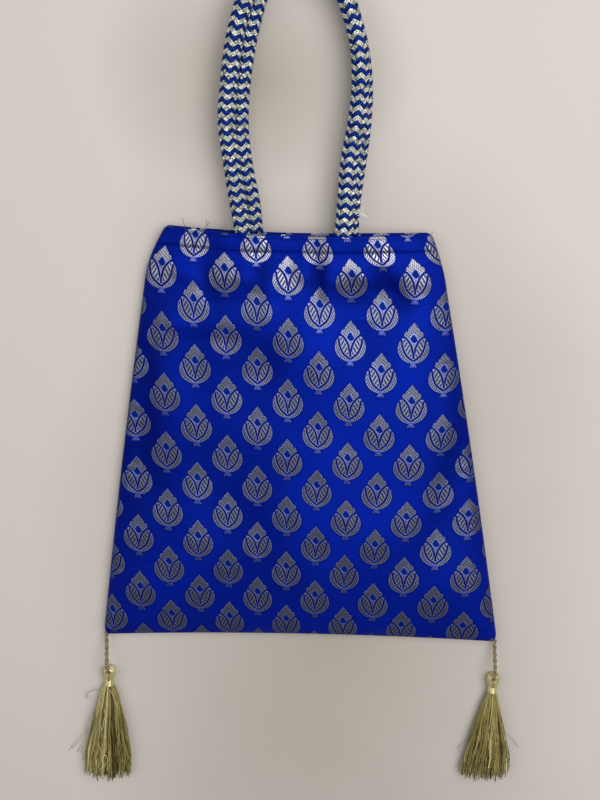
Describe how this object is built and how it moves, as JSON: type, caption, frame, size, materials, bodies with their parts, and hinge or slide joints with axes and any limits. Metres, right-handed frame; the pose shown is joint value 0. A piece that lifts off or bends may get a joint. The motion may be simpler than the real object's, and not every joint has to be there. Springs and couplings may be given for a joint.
{
  "type": "potli bag",
  "caption": "Lined potli bag in royal blue brocade woven with silver buds, with braided rope handles at the hem and tassels on cords at the bottom corners",
  "frame": {"origin": "on the outer face of the back cloth, which lies on the surface, at half the bag's height and on its middle line", "axes": "+X across the bag to the right as seen from the front, +Y along the bag from the tassels up to the handles, +Z out of the front cloth"},
  "size_m": [0.2954, 0.5097, 0.0204],
  "materials": {
    "royal_brocade": "satin weave",
    "navy_lining": "plain weave",
    "braided_rope": "satin braid",
    "twisted_cord": "twisted",
    "gold_thread": "metallic thread",
    "tassel_thread": "silky thread"
  },
  "bodies": {
    "bag": {"front_panel": "royal_brocade", "back_panel": "royal_brocade", "front_lining": "navy_lining", "back_lining": "navy_lining", "front_handle_left_tail": "braided_rope", "front_handle_right_tail": "braided_rope", "back_handle_left_tail": "braided_rope", "back_handle_right_tail": "braided_rope"},
    "front_rope": {"front_handle": "braided_rope"},
    "back_rope": {"back_handle": "braided_rope"},
    "left_cord": {"left_tassel_cord": "twisted_cord"},
    "left_tassel": {"left_tassel_head": "gold_thread", "left_tassel_binding": "gold_thread", "left_tassel_skirt": "tassel_thread"},
    "right_cord": {"right_tassel_cord": "twisted_cord"},
    "right_tassel": {"right_tassel_head": "gold_thread", "right_tassel_binding": "gold_thread", "right_tassel_skirt": "tassel_thread"}
  },
  "joints": [
    {"name": "front_handle_swing", "type": "hinge", "parent": "bag", "child": "front_rope", "pos_m": [0, 0.13127, 0.0203], "axis": [1, 0, 0], "range_deg": [0, 180]},
    {"name": "back_handle_swing", "type": "hinge", "parent": "bag", "child": "back_rope", "pos_m": [0, 0.13093, 0], "axis": [1, 0, 0], "range_deg": [-180, 0]},
    {"name": "left_cord_swing", "type": "hinge", "parent": "bag", "child": "left_cord", "pos_m": [-0.12529, -0.12396, 0], "axis": [0, 0, 1], "range_deg": [-90, 40]},
    {"name": "left_tassel_swing", "type": "hinge", "parent": "left_cord", "child": "left_tassel", "pos_m": [-0.12529, -0.14546, 0], "axis": [0, 0, 1], "range_deg": [-80, 40]},
    {"name": "right_cord_swing", "type": "hinge", "parent": "bag", "child": "right_cord", "pos_m": [0.1255, -0.13256, 0], "axis": [0, 0, 1], "range_deg": [-40, 90]},
    {"name": "right_tassel_swing", "type": "hinge", "parent": "right_cord", "child": "right_tassel", "pos_m": [0.1255, -0.15406, 0], "axis": [0, 0, 1], "range_deg": [-40, 80]}
  ]
}
